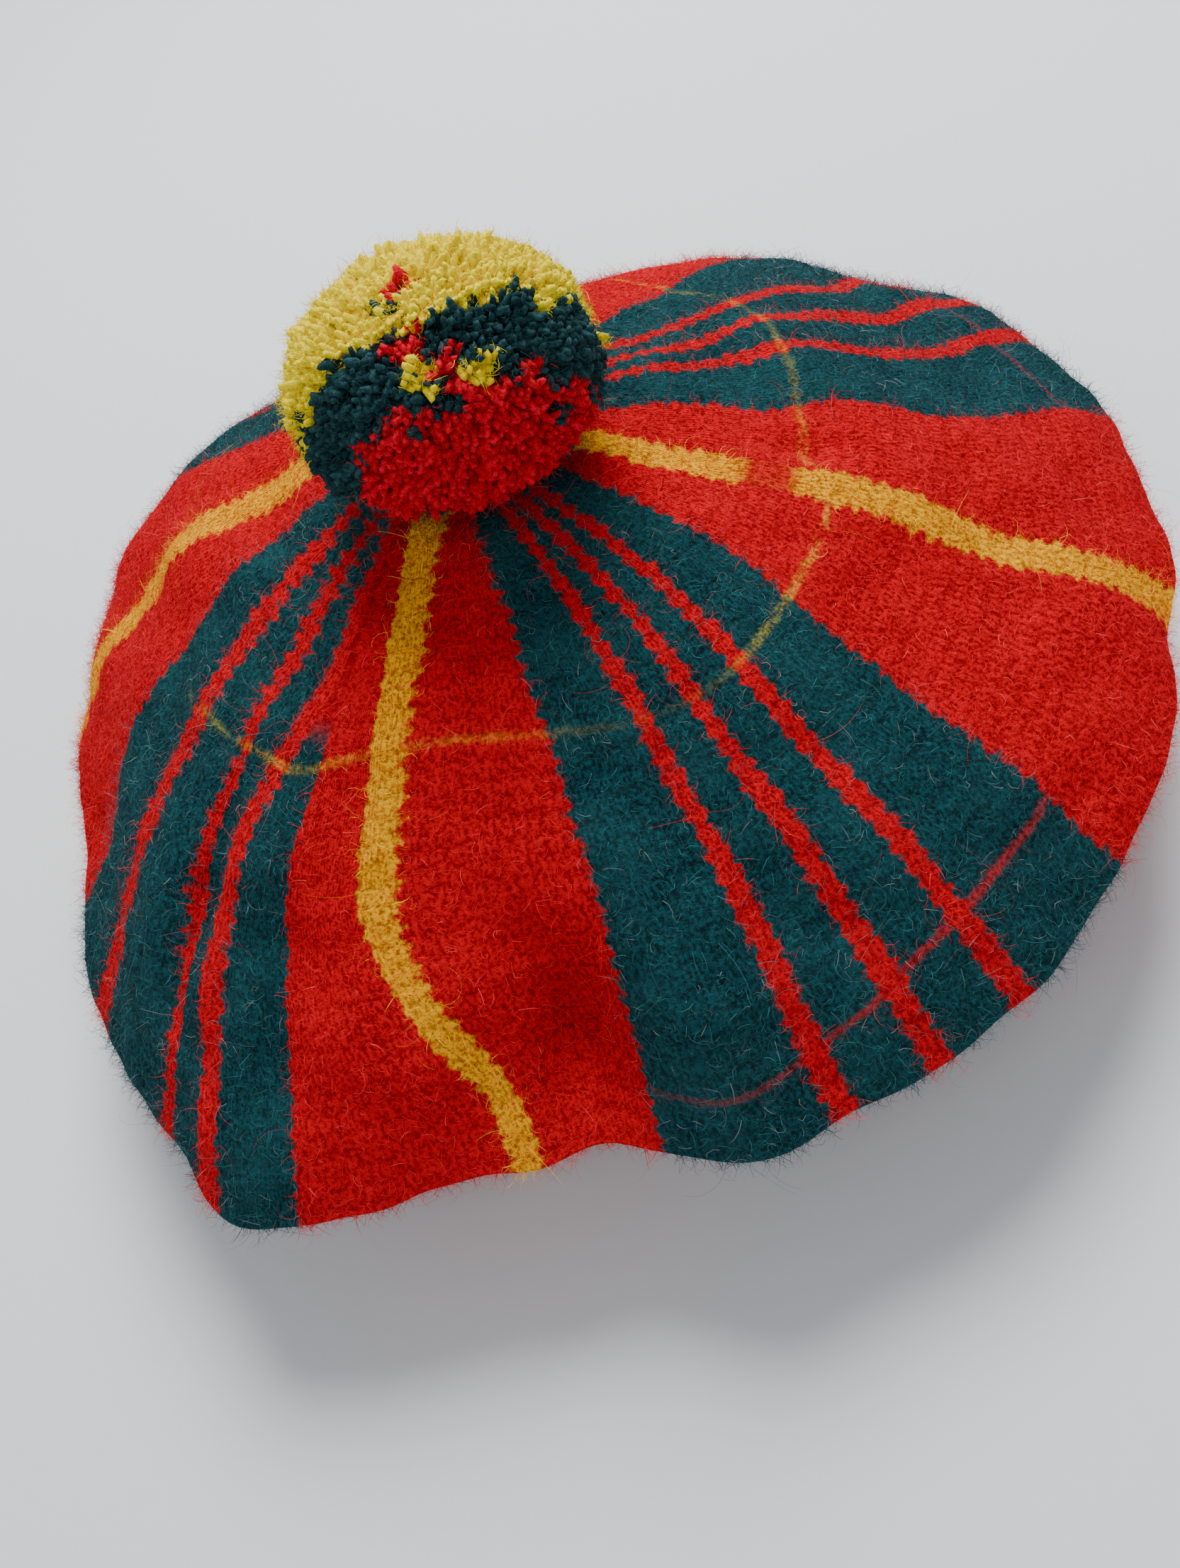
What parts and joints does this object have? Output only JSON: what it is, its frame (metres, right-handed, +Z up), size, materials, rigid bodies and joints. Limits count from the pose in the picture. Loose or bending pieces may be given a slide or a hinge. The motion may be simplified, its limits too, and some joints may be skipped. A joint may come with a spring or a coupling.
{
  "type": "tam o shanter",
  "caption": "Knitted and fulled wool tam with a wide soft radial-striped crown, a knitted headband and a round cut-yarn pompom on top.",
  "frame": {"origin": "centre of the head opening, in the plane of the headband's lower edge, on which the hat rests", "axes": "+Z up along the hat's axis, from the head opening to the pompom; -Y is the front, the side shown nearest the viewer; +X is to the viewer's right"},
  "size_m": [0.2709, 0.2708, 0.1523],
  "materials": {
    "crown_knit": "brushed, fulled wool knit in red with dark teal green and golden yellow stripes",
    "headband_knit": "matte ribbed wool knit in dark teal green",
    "pompom_yarn": "cut wool yarn in layers of lemon yellow, dark teal green and red"
  },
  "bodies": {
    "root": {"crown": "crown_knit", "headband": "headband_knit", "pompom": "pompom_yarn"}
  },
  "joints": []
}
